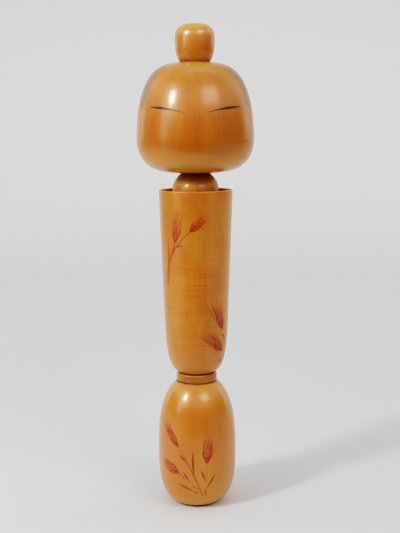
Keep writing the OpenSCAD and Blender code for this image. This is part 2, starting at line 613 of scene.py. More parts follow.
    @staticmethod
    def weighted(sheet: NodeSheet, middle: float, parts: Iterable[tuple]) -> bpy.types.NodeSocket:
        """Adds patterns about a middle value.

        Args:
            sheet: Where nodes are added.
            middle: Value where every pattern is at its own middle.
            parts: Patterns and their strengths.

        Returns:
            The sum's socket.
        """
        parts = list(parts)
        total: object = middle - sum(strength for _, strength in parts) / 2
        for pattern, strength in parts:
            total = sheet.math("MULTIPLY_ADD", pattern, strength, total)
        return total

    def near(self, sheet: NodeSheet, place: bpy.types.NodeSocket, height: float) -> bpy.types.NodeSocket:
        """Share of a band round the piece at one height.

        Args:
            sheet: Where nodes are added.
            place: Object coordinates.
            height: Height of the band's middle, in metres.

        Returns:
            The share's socket.
        """
        level = sheet.add("ShaderNodeSeparateXYZ", {0: place}).outputs["Z"]
        away = sheet.math("ABSOLUTE", sheet.math("SUBTRACT", level, height))
        ragged = sheet.math("MULTIPLY_ADD", sheet.noise(place, 260.0, 2.0), self.edge_reach, away)
        band = sheet.smooth(ragged, self.edge_reach * 1.6, self.edge_reach * 0.4)
        return sheet.math("MULTIPLY", band, self.edge_strength)

    def tool_mark_height(self, sheet: NodeSheet, place: bpy.types.NodeSocket) -> bpy.types.NodeSocket:
        """Height of the fine rings that the turning tool leaves.

        Args:
            sheet: Where nodes are added.
            place: Object coordinates.

        Returns:
            The height's socket.
        """
        lines = sheet.noise(sheet.stretched(place, (0.03, 0.03, 1)), 1050.0, 4.0, 0.75)
        lines = sheet.smooth(lines, 0.30, 0.72)
        patches = sheet.smooth(sheet.noise(place, 45.0, 1.0), 0.35, 0.65)
        strength = sheet.math("MULTIPLY_ADD", patches, 0.85, 0.15)
        return sheet.math("MULTIPLY_ADD", sheet.math("SUBTRACT", lines, 0.5), strength, 0.5)

    def surface(self, sheet: NodeSheet, fibre: bpy.types.NodeSocket,
                marks: bpy.types.NodeSocket) -> bpy.types.NodeSocket:
        """Normal of the wood under the varnish.

        Args:
            sheet: Where nodes are added.
            fibre: Height of the fibre.
            marks: Height of the tool marks.

        Returns:
            The normal's socket.
        """
        height = self.weighted(sheet, 0.5, ((fibre, 0.5), (marks, self.tool_marks)))
        return sheet.add("ShaderNodeBump", {
            "Strength": 0.35, "Distance": 0.12 * MM, "Height": height,
        }).outputs["Normal"]

    def varnish_surface(self, sheet: NodeSheet, place: bpy.types.NodeSocket,
                        marks: bpy.types.NodeSocket) -> bpy.types.NodeSocket:
        """Normal of the varnish: slow waves, faint tool marks and small dents.

        Args:
            sheet: Where nodes are added.
            place: Object coordinates.
            marks: Height of the tool marks.

        Returns:
            The normal's socket.
        """
        waves = sheet.noise(sheet.stretched(place, (1, 1, 0.5)), 60.0, 2.0)
        dents = sheet.smooth(sheet.noise(place, 330.0, 1.0), 0.74, 0.80)
        height = self.weighted(sheet, 0.5, ((waves, 1.0), (marks, 0.20 * self.tool_marks), (dents, -0.25)))
        return sheet.add("ShaderNodeBump", {
            "Strength": 0.25, "Distance": 0.15 * MM, "Height": height,
        }).outputs["Normal"]

    def hair_wash(self, sheet: NodeSheet, place: bpy.types.NodeSocket,
                  colour: bpy.types.NodeSocket) -> bpy.types.NodeSocket:
        """Lays the thin worn hair wash over the sides and back of the head.

        Args:
            sheet: Where nodes are added.
            place: Object coordinates.
            colour: Colour under the wash.

        Returns:
            The colour's socket.
        """
        parts = sheet.add("ShaderNodeSeparateXYZ", {0: place})
        ragged = sheet.math("MULTIPLY", sheet.math("SUBTRACT", sheet.noise(place, 90.0, 3.0), 0.5), 5 * MM)
        back = sheet.math("ADD", parts.outputs["Y"], ragged)
        behind_temple = sheet.smooth(back, -21.5 * MM, -15.0 * MM)
        side = sheet.math("ABSOLUTE", parts.outputs["X"])
        off_parting = sheet.math("MAXIMUM", sheet.smooth(side, 13 * MM, 24 * MM),
                                 sheet.smooth(back, 2 * MM, 12 * MM))
        hem = sheet.math("MULTIPLY_ADD", back, -0.32, 246 * MM)
        above = sheet.smooth(sheet.math("SUBTRACT", parts.outputs["Z"], hem), -1.5 * MM, 3.5 * MM)
        cover = sheet.math("MULTIPLY", sheet.math("MULTIPLY", behind_temple, off_parting), above)
        streak = sheet.noise(sheet.stretched(place, (1, 1, 0.12)), 420.0, 3.0, 0.6)
        thin = sheet.math("MULTIPLY_ADD", streak, 0.55, 0.12)
        return sheet.mix(sheet.math("MULTIPLY", cover, thin), colour, HAIR_WASH)

    def paint(self, sheet: NodeSheet, place: bpy.types.NodeSocket, colour: bpy.types.NodeSocket
              ) -> tuple[bpy.types.NodeSocket, object]:
        """Lays the painted layers over the wood, thinner where the brush ran dry.

        Args:
            sheet: Where nodes are added.
            place: Object coordinates.
            colour: Colour under the paint.

        Returns:
            The colour's socket, and the share of the gloss that the dull paint leaves.
        """
        dry = sheet.noise(place, 900.0, 3.0, 0.6)
        bare: object = 1.0
        for layer in self.painted:
            pigment, strength, grit = PIGMENTS[layer]
            density = sheet.math("SUBTRACT", sheet.layer(layer), sheet.math("MULTIPLY", dry, grit))
            cover = sheet.math("MULTIPLY", sheet.smooth(density, 0.0, 1.0 - grit), strength)
            colour = sheet.mix(cover, colour, pigment)
            bare = sheet.math("MULTIPLY", bare, sheet.math("MULTIPLY_ADD", cover, -0.9, 1.0))
        return colour, bare


PIGMENTS: dict[Layer, tuple[Colour, float, float]] = {
    Layer.WASH: ((0.54, 0.076, 0.020), 0.66, 0.35),
    Layer.STREAK: ((0.31, 0.015, 0.004), 0.92, 0.28),
    Layer.LINE: ((0.27, 0.045, 0.004), 0.88, 0.25),
    Layer.EYE: ((0.022, 0.011, 0.006), 0.97, 0.10),
}


@dataclass(frozen=True)
class Paper:
    """Plain pale sheet of the studio."""

    name: str
    colour: Colour
    roughness: float

    def material(self) -> bpy.types.Material:
        """Builds the finish as a material.

        Returns:
            The material.
        """
        material = bpy.data.materials.new(self.name)
        material.use_nodes = True
        shader = material.node_tree.nodes["Principled BSDF"]
        shader.inputs["Base Color"].default_value = (*self.colour, 1.0)
        shader.inputs["Roughness"].default_value = self.roughness
        shader.inputs["Specular IOR Level"].default_value = 0.2
        return material


# ---------------------------------------------------------------------------------------------
# Brushwork
# ---------------------------------------------------------------------------------------------


@dataclass(frozen=True)
class Route:
    """Where a brush stroke runs: straight from one place to another, bowed like a shallow arc.

    Attributes:
        start: Where the brush is set down.
        end: Where it lifts off.
        bow: How far the middle stands off the straight line, in degrees and millimetres.
    """

    start: Place
    end: Place
    bow: Place = (0.0, 0.0)

    def at(self, share: float) -> Place:
        """Finds a place on the route.

        Args:
            share: Share of the way along.

        Returns:
            The place there.
        """
        rise = 4 * share * (1 - share)
        angle, height = (
            first + (last - first) * share + off * rise
            for first, last, off in zip(self.start, self.end, self.bow)
        )
        return angle, height

    def places(self, count: int = 7) -> tuple[Place, ...]:
        """Spreads places evenly along the route.

        Args:
            count: How many.

        Returns:
            The places.
        """
        return tuple(self.at(number / (count - 1)) for number in range(count))


@dataclass(frozen=True)
class Stroke:
    """One brush stroke on a turned piece.

    Places are degrees from the front, positive to the doll's +X side, and heights in millimetres.
    """

    places: tuple[Place, ...]
    width: float
    start: float = 0.35
    end: float = 0.25
    belly: float = 0.5
    load: float = 1.0
    fade: float = 0.0

    def half_width(self, share: float) -> float:
        """Half the stroke's width, in metres.

        Args:
            share: Share of the way along the stroke.

        Returns:
            The half width.
        """
        if share < self.belly:
            rise, least = share / self.belly, self.start
        else:
            rise, least = (1 - share) / (1 - self.belly), self.end
        swell = rise * rise * (3 - 2 * rise)
        return 0.5 * self.width * MM * (least + (1 - least) * swell)

    def path(self, count: int) -> list[Place]:
        """Places along a smooth curve through the stroke's own places.

        Args:
            count: How many places to give.

        Returns:
            The places.
        """
        ends = (self.places[0], *self.places, self.places[-1])
        spans = len(self.places) - 1
        path = []
        for step in range(count):
            along = step / (count - 1) * spans
            span = min(int(along), spans - 1)
            path.append(catmull_rom(ends[span:span + 4], along - span))
        return path


def catmull_rom(places: tuple[Place, ...], share: float) -> Place:
    """Place on a curve between the second and third of four places.

    Args:
        places: Four places.
        share: Share of the way from the second to the third.

    Returns:
        The place.
    """
    squared, cubed = share ** 2, share ** 3
    weights = (
        -0.5 * cubed + squared - 0.5 * share,
        1.5 * cubed - 2.5 * squared + 1,
        -1.5 * cubed + 2 * squared + 0.5 * share,
        0.5 * cubed - 0.5 * squared,
    )
    return tuple(sum(w * p[axis] for w, p in zip(weights, places)) for axis in (0, 1))


@dataclass(frozen=True)
class WheatEar:
    """An ear of wheat: a thin red wash, a dense root, brush streaks that fan out, and fine awns."""

    base: Place
    tip: Place
    width: float
    awn: float
    streaks: int = 5
    spread: float = 1.0
    load: float = 1.0
    seed: int = 1

    def strokes(self, radius: float) -> list[tuple[Layer, Stroke]]:
        """Brushes the ear.

        Args:
            radius: Radius of the piece at the ear, in millimetres.

        Returns:
            Paint layers and their strokes.
        """
        draw = random.Random(self.seed)
        made = []
        for side in (-0.26, 0.0, 0.26):
            reach = 1.0 - 0.35 * abs(side)
            made.append((Layer.WASH, self.dab(radius, side, (0.0, reach), self.width * 0.46, (0.4, 0.45),
                                              0.66 * self.load, 0.25)))
        for number in range(self.streaks):
            side = (number / (self.streaks - 1) - 0.5) * 2
            reach = 1.06 - 0.18 * abs(side) + draw.uniform(-0.06, 0.06)
            width = draw.uniform(0.50, 0.85)
            load = self.load * draw.uniform(0.65, 1.0)
            made.append((Layer.STREAK, self.dab(radius, side * 0.44, (0.03, reach), width, (0.7, 0.3),
                                                load, 0.55)))
        for number in range(self.streaks + 4):
            side = draw.uniform(-0.9, 0.9)
            start = draw.uniform(0.05, 0.65)
            load = self.load * draw.uniform(0.8, 1.0)
            made.append((Layer.STREAK, self.dab(radius, side * 0.40, (start, start + 0.14), 0.9, (0.4, 0.2),
                                                load, 0.0)))
        for number in range(self.streaks):
            side = (number / (self.streaks - 1) - 0.5) * 2 + draw.uniform(-0.12, 0.12)
            reach = 1.0 + self.awn / self.length(radius) * draw.uniform(0.6, 1.0)
            load = self.load * draw.uniform(0.65, 0.95)
            made.append((Layer.STREAK, self.dab(radius, side * 0.46, (0.60, reach), 0.60, (0.8, 0.35),
                                                load, 0.35)))
        return made

    def length(self, radius: float) -> float:
        """Length of the ear's body.

        Args:
            radius: Radius of the piece at the ear, in millimetres.

        Returns:
            The length, in millimetres.
        """
        across = math.radians(self.tip[0] - self.base[0]) * radius
        return math.hypot(across, self.tip[1] - self.base[1])

    def dab(self, radius: float, side: float, span: tuple[float, float], width: float,
            ends: tuple[float, float], load: float, fade: float) -> Stroke:
        """One dab that leaves the ear's line and bends back along it.

        Args:
            radius: Radius of the piece at the ear, in millimetres.
            side: How far out it goes, as a share of the ear's width.
            span: Shares of the ear's length where it starts and ends.
            width: Width of the dab, in millimetres.
            ends: Shares of that width at its start and its end.
            load: How much paint is on the brush.
            fade: Share of that load that is gone at its end.

        Returns:
            The stroke.
        """
        across = math.radians(self.tip[0] - self.base[0]) * radius
        rise = self.tip[1] - self.base[1]
        long = self.length(radius)
        start, reach = span
        places = []
        for step in range(6):
            along = start + (reach - start) * step / 5
            opening = 1 - (1 - min(along / 0.5, 1.0)) ** 2
            flare = opening + max(0.0, along - 0.4) * (self.spread - 1)
            out = side * self.width * flare
            x = across * along - rise / long * out
            z = rise * along + across / long * out
            places.append((self.base[0] + math.degrees(x / radius), self.base[1] + z))
        return Stroke(tuple(places), width, *ends, 0.4, load, fade)


def blade(route: Route, width: float = 1.2, load: float = 1.0) -> tuple[Layer, Stroke]:
    """A leaf: one firm stroke with a full belly.

    Args:
        route: Where the stroke runs.
        width: Its widest, in millimetres.
        load: How much paint is on the brush.

    Returns:
        Its layer and stroke.
    """
    return Layer.LINE, Stroke(route.places(), width, start=0.45, end=0.35, belly=0.4, load=load)


def stem(route: Route, width: float = 0.75, load: float = 0.9) -> tuple[Layer, Stroke]:
    """A stem: one thin even stroke.

    Args:
        route: Where the stroke runs.
        width: Its widest, in millimetres.
        load: How much paint is on the brush.

    Returns:
        Its layer and stroke.
    """
    return Layer.LINE, Stroke(route.places(), width, start=0.7, end=0.7, load=load)


# ---------------------------------------------------------------------------------------------
# Turned pieces
# ---------------------------------------------------------------------------------------------

LATHE = Lathe()
BRUSH = Brush()
CREASE_ANGLE = math.radians(32)


@dataclass(frozen=True)
class RoundedEnd:
    """One end of a superellipse outline, from its widest place to where it is cut flat."""

    radius: float
    start: float
    end: float
    last_radius: float
    height_power: float
    power: float

    def full_height(self) -> float:
        """Signed height from the widest place to where the outline would close on the axis."""
        cut = (1 - (self.last_radius / self.radius) ** self.power) ** (1 / self.height_power)
        return (self.end - self.start) / cut

    def radius_at(self, height: float) -> float:
        """Radius of the outline.

        Args:
            height: Height, in metres.

        Returns:
            The radius, in metres.
        """
        share = min(max((height - self.start) / self.full_height(), 0.0), 1.0)
        return self.radius * (1 - share ** self.height_power) ** (1 / self.power)

    def heights(self, steps: int) -> list[float]:
        """Heights from the widest place to the cut, closer together towards the cut.

        Args:
            steps: How many spans to give.

        Returns:
            The heights, in metres.
        """
        reach = self.end - self.start
        return [self.start + reach * math.sin(math.pi / 2 * step / steps) for step in range(steps + 1)]


@dataclass
class TurnedPiece:
    """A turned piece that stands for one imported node."""

    node: str
    body: str
    slot: str
    finish: Wood
    columns: int = 200
    fine_columns: int = 100
    fine_centre: float = 0.0
    fine_half_angle: float = 90.0
    fine_bands: tuple[tuple[float, float], ...] = ()
    fine_pitch: float = 0.3
    softness: float = 0.45
    steps: int = 56
    brushwork: list[tuple[Layer, Stroke]] = field(default_factory=list)

    def __post_init__(self) -> None:
        """Reads the node's own box."""
        low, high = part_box(self.node)
        self.low, self.high, self.radius = low.z, high.z, high.x

    def radius_at(self, height: float) -> float:
        """Outer radius.

        Args:
            height: Height, in metres.

        Returns:
            The radius, in metres.
        """
        raise NotImplementedError

    def outline(self) -> Outline:
        """Radius and height along the whole closed outline.

        Returns:
            The outline, in metres.
        """
        raise NotImplementedError

    def outer(self, heights: Iterable[float]) -> Outline:
        """Outline of the outside through the given heights and the fine bands.

        Args:
            heights: Heights that the outline passes.

        Returns:
            The outline from its lowest to its highest place.
        """
        rows = sorted(heights)
        for low, high in self.fine_bands:
            spans = max(1, round((high - low) / self.fine_pitch))
            rows = [z for z in rows if not low * MM < z < high * MM]
            rows += [(low + (high - low) * i / spans) * MM for i in range(spans + 1)]
        return [(self.radius_at(z), z) for z in sorted(rows)]

    def paint(self, *strokes: tuple[Layer, Stroke]) -> None:
        """Adds strokes to the piece.

        Args:
            strokes: Paint layers and their strokes.
        """
        self.brushwork.extend(strokes)

    def ear(self, ear: WheatEar) -> None:
        """Adds an ear of wheat to the piece.

        Args:
            ear: The ear.
        """
        self.paint(*ear.strokes(self.radius_at(ear.base[1] * MM) / MM))

    def build(self) -> bpy.types.Object:
        """Turns the piece, paints it, puts it under its body's empty and hides the imported node.

        Returns:
            The finished object.
        """
        outline = self.outline()
        mesh = bpy.data.meshes.new(f"{self.node}_outline")
        mesh.from_pydata([(r, 0.0, z) for r, z in outline], [], [])
        blank = bpy.data.objects.new(f"{self.node}_blank", mesh)
        bpy.context.scene.collection.objects.link(blank)
        LATHE.fit(blank, {
            "Columns": self.columns,
            "Fine columns": self.fine_columns,
            "Fine centre": math.radians(self.fine_centre),
            "Fine half angle": math.radians(self.fine_half_angle),
            "Crease angle": CREASE_ANGLE,
            "Finish": self.finish.material(),
        })
        helpers = [self.lay_strokes(blank, layer) for layer in self.finish.painted]
        piece = self.finished(blank)
        for helper in (*helpers, blank):
            bpy.data.objects.remove(helper)
        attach(piece, self.body)
        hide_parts(self.node)
        log.info("%s: %d outline points, %d triangles, %d strokes", self.node, len(outline),
                 len(piece.data.loop_triangles), len(self.brushwork))
        return piece

    def lay_strokes(self, blank: bpy.types.Object, layer: Layer) -> bpy.types.Object:
        """Makes one layer's strokes as curves and puts the brush on the blank.

        Args:
            blank: The object that becomes the piece.
            layer: The paint layer.

        Returns:
            The strokes' curve object, which is only a guide.
        """
        data = bpy.data.curves.new(f"{self.node}_{layer.value}", "CURVE")
        data.dimensions = "3D"
        for stroke in (stroke for kind, stroke in self.brushwork if kind is layer):
            path = stroke.path(24)
            spline = data.splines.new("POLY")
            spline.points.add(len(path) - 1)
            for number, (point, (angle, height)) in enumerate(zip(spline.points, path)):
                point.co = (*self.on_surface(angle, height), 1.0)
                share = number / (len(path) - 1)
                point.radius = stroke.half_width(share)
                point.tilt = stroke.load * (1 - stroke.fade * share)
        guide = bpy.data.objects.new(data.name, data)
        bpy.context.scene.collection.objects.link(guide)
        BRUSH.fit(blank, {"Strokes": guide, "Softness": self.softness * MM, "Layer": layer.value})
        return guide

    def on_surface(self, angle: float, height: float) -> Vector:
        """Place on the piece's outside.

        Args:
            angle: Degrees from the front.
            height: Height in millimetres.

        Returns:
            The place, in metres.
        """
        radius = self.radius_at(height * MM)
        turn = math.radians(angle)
        return Vector((radius * math.sin(turn), -radius * math.cos(turn), height * MM))

    def finished(self, blank: bpy.types.Object) -> bpy.types.Object:
        """Turns the evaluated blank into a plain mesh object with its faces outwards.

        Args:
            blank: The outline with its tools as modifiers.

        Returns:
            The new object.
        """
        graph = bpy.context.evaluated_depsgraph_get()
        mesh = bpy.data.meshes.new_from_object(blank.evaluated_get(graph), depsgraph=graph)
        mesh.name = self.node
        shape = bmesh.new()
        shape.from_mesh(mesh)
        bmesh.ops.recalc_face_normals(shape, faces=shape.faces)
        shape.to_mesh(mesh)
        shape.free()
        mesh.calc_loop_triangles()
        piece = bpy.data.objects.new(f"{self.node}_turned", mesh)
        bpy.context.scene.collection.objects.link(piece)
        return piece


@dataclass(frozen=True)
class Bore:
    """Round hole for a dowel, measured from the dowel's own node."""

    dowel: str
    gap: float = GLUE_GAP

    def radius(self) -> float:
        """Radius of the hole, in metres."""
        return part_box(self.dowel)[1].x + self.gap

    def blind_below(self, mouth: float) -> Outline:
        """Outline of a blind hole that goes down from its mouth.

        Args:
            mouth: Height of the mouth.

        Returns:
            From the mouth's edge to the axis.
        """
        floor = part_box(self.dowel)[0].z
        return [(self.radius(), mouth), (self.radius(), floor), (0.0, floor)]

    def blind_above(self, mouth: float) -> Outline:
        """Outline of a blind hole that goes up from its mouth.

        Args:
            mouth: Height of the mouth.

        Returns:
            From the mouth's edge to the axis.
        """
        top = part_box(self.dowel)[1].z + BLIND_END_GAP
        return [(self.radius(), mouth), (self.radius(), top), (0.0, top)]


@dataclass
class LowerBody(TurnedPiece):
    """Rounded barrel with a flat foot and a flat top under the ring."""

    base_radius: float = 12.5
    widest: float = 37.4
    seat_radius: float = 12.9
    foot_power: float = 3.27
    shoulder_power: float = 2.5

    def ends(self) -> tuple[RoundedEnd, RoundedEnd]:
        """The foot and the shoulder of the barrel."""
        start = self.widest * MM
        foot = RoundedEnd(self.radius, start, self.low, self.base_radius * MM, self.foot_power,
                          self.foot_power)
        shoulder = RoundedEnd(self.radius, start, self.high, self.seat_radius * MM, self.shoulder_power,
                              self.shoulder_power)
        return foot, shoulder

    def radius_at(self, height: float) -> float:
        """Outer radius at a height, both in metres."""
        foot, shoulder = self.ends()
        return (foot if height < self.widest * MM else shoulder).radius_at(height)

    def outline(self) -> Outline:
        """Foot, barrel, flat top and the bore for the waist dowel."""
        foot, shoulder = self.ends()
        side = self.outer({*foot.heights(self.steps), *shoulder.heights(self.steps)})
        return [(0.0, self.low), (self.base_radius * MM / 2, self.low), *side,
                *Bore("waist_dowel").blind_below(self.high)]


@dataclass
class WaistRing(TurnedPiece):
    """Bead between the two bodies, with eased edges."""

    ease: float = 0.7

    def radius_at(self, height: float) -> float:
        """Outer radius at a height, both in metres."""
        middle = (self.low + self.high) / 2
        share = min(abs(height - middle) / (self.high - middle), 1.0)
        return self.radius - self.ease * MM * (1 - math.sqrt(1 - share ** 4))

    def outline(self) -> Outline:
        """Bead and through bore, as one closed loop."""
        middle = (self.low + self.high) / 2
        upper = RoundedEnd(self.radius, middle, self.high, 0.0, 2, 2).heights(14)
        lower = RoundedEnd(self.radius, middle, self.low, 0.0, 2, 2).heights(14)
        bore = Bore("waist_dowel").radius()
        return [(bore, self.low), *self.outer({*upper, *lower}), (bore, self.high), (bore, self.low)]


@dataclass
class UpperBody(TurnedPiece):
    """Tall taper with a rounded lower end and a thin hollow collar."""

    waist_radius: float = 18.85
    round_height: float = 46.6
    round_power: float = 4.5
    round_sink: float = 0.4
    wall: float = 1.2
    floor_corner: float = 5.0

    def side(self, height: float) -> float:
        """Radius of the straight taper at a height, both in metres."""
        share = (height - self.low) / (self.high - self.low)
        return self.waist_radius * MM + (self.radius - self.waist_radius * MM) * share

    def radius_at(self, height: float) -> float:
        """Outer radius at a height, both in metres."""
        closing = self.low - self.round_sink * MM
        share = min(max(1 - (height - closing) / (self.round_height * MM), 0.0), 1.0)
        return self.side(height) * (1 - share ** self.round_power) ** (1 / self.round_power)

    def outline(self) -> Outline:
        """Lower end, taper, lip, hollow collar and both bores."""
        lip = self.wall * MM / 2
        lip_height = self.high - lip
        start = self.low + (self.round_height - self.round_sink) * MM
        round_end = RoundedEnd(self.radius, start, self.low, 0.0, 2, 2).heights(self.steps)
        taper = [start + (lip_height - start) * step / 24 for step in range(25)]
        side = self.outer({*round_end, *taper})
        lip_round = [
            (self.side(lip_height) + lip * (math.cos(turn) - 1), lip_height + lip * math.sin(turn))
            for turn in (math.pi * step / 12 for step in range(1, 13))
        ]
        corner = self.floor_corner * MM
        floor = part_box("neck_ball")[0].z
        wall_radius = self.side(floor + corner) - self.wall * MM
        hollow = [
            (wall_radius - corner * (1 - math.cos(turn)), floor + corner * (1 - math.sin(turn)))
            for turn in (math.pi / 2 * step / 14 for step in range(15))
        ]
        waist_bore = Bore("waist_dowel").blind_above(self.low)
        return [*reversed(waist_bore), *side, *lip_round, *hollow, *Bore("neck_dowel").blind_below(floor)]


@dataclass
class NeckBall(TurnedPiece):
    """Ball cut flat where it sits in the collar and under the head."""

    centre: float = 200.2

    def radius_at(self, height: float) -> float:
        """Outer radius at a height, both in metres."""
        return math.sqrt(max(self.radius ** 2 - (height - self.centre * MM) ** 2, 0.0))

    def outline(self) -> Outline:
        """Ball and through bore, as one closed loop."""
        first = math.asin((self.low - self.centre * MM) / self.radius)
        last = math.asin((self.high - self.centre * MM) / self.radius)
        turns = [first + (last - first) * step / self.steps for step in range(self.steps + 1)]
        side = [(self.radius * math.cos(turn), self.centre * MM + self.radius * math.sin(turn))
                for turn in turns]
        bore = Bore("neck_dowel").radius()
        return [(bore, self.low), *side, (bore, self.high), (bore, self.low)]


@dataclass
class Head(TurnedPiece):
    """Wide head: flat chin, full cheeks and a flattened dome."""

    widest: float = 233.2
    height_power: float = 2.05
    power: float = 4.0
    seat_radius: float = 9.1

    def ends(self) -> tuple[RoundedEnd, RoundedEnd]:
        """The chin and the dome."""
        start = self.widest * MM
        chin = RoundedEnd(self.radius, start, self.low, 0.0, self.height_power, self.power)
        dome = RoundedEnd(self.radius, start, self.high, self.seat_radius * MM, self.height_power,
                          self.power)
        return chin, dome

    def radius_at(self, height: float) -> float:
        """Outer radius at a height, both in metres."""
        chin, dome = self.ends()
        return (chin if height < self.widest * MM else dome).radius_at(height)

    def outline(self) -> Outline:
        """Neck bore, chin, face, dome and the topknot's bore."""
        chin, dome = self.ends()
        bore = Bore("neck_dowel", TURN_GAP)
        side = self.outer({*chin.heights(self.steps), *dome.heights(self.steps)})
        side = [(r, z) for r, z in side if r > bore.radius() * 1.3 or z > self.widest * MM]
        return [*reversed(bore.blind_above(self.low)), *side, *Bore("topknot_dowel").blind_below(self.high)]


@dataclass
class Topknot(TurnedPiece):
    """Knob of hair on the dome."""

    cap_height: float = 9.8
    cap_power: float = 2.8
    foot_power: float = 2.6
    seat_radius: float = 9.1

    def ends(self) -> tuple[RoundedEnd, RoundedEnd]:
        """The foot and the cap of the knob."""
        start = self.high - self.cap_height * MM
        foot = RoundedEnd(self.radius, start, self.low, self.seat_radius * MM, self.foot_power,
                          self.foot_power)
        return foot, RoundedEnd(self.radius, start, self.high, 0.0, self.cap_power, self.cap_power)

    def radius_at(self, height: float) -> float:
        """Outer radius at a height, both in metres."""
        foot, cap = self.ends()
        return (foot if height < foot.start else cap).radius_at(height)

    def outline(self) -> Outline:
        """Bore for its dowel, foot and cap."""
        foot, cap = self.ends()
        side = self.outer({*foot.heights(self.steps), *cap.heights(self.steps)})
        return [*reversed(Bore("topknot_dowel").blind_above(self.low)), *side]


# ---------------------------------------------------------------------------------------------
# Studio
# ---------------------------------------------------------------------------------------------


@dataclass(frozen=True)
class SoftBox:
    """Rectangular lamp that faces the doll."""

    name: str
    position: tuple[float, float, float]
    width: float
    height: float
    radiance: float
    colour: Colour = (1.0, 1.0, 1.0)

    def build(self, target: Vector) -> bpy.types.Object:
        """Makes the lamp.

        Args:
            target: What it faces.

        Returns:
            The lamp's object.
        """
        lamp = bpy.data.lights.new(self.name, "AREA")
        lamp.shape = "RECTANGLE"
        lamp.size, lamp.size_y = self.width, self.height
        lamp.energy = self.radiance * math.pi * self.width * self.height
        lamp.color = self.colour
        thing = bpy.data.objects.new(self.name, lamp)
        thing.visible_camera = False
        thing.location = self.position
        thing.rotation_mode = "QUATERNION"
        thing.rotation_quaternion = (Vector(self.position) - target).to_track_quat("Z", "Y")
        bpy.context.scene.collection.objects.link(thing)
        return thing


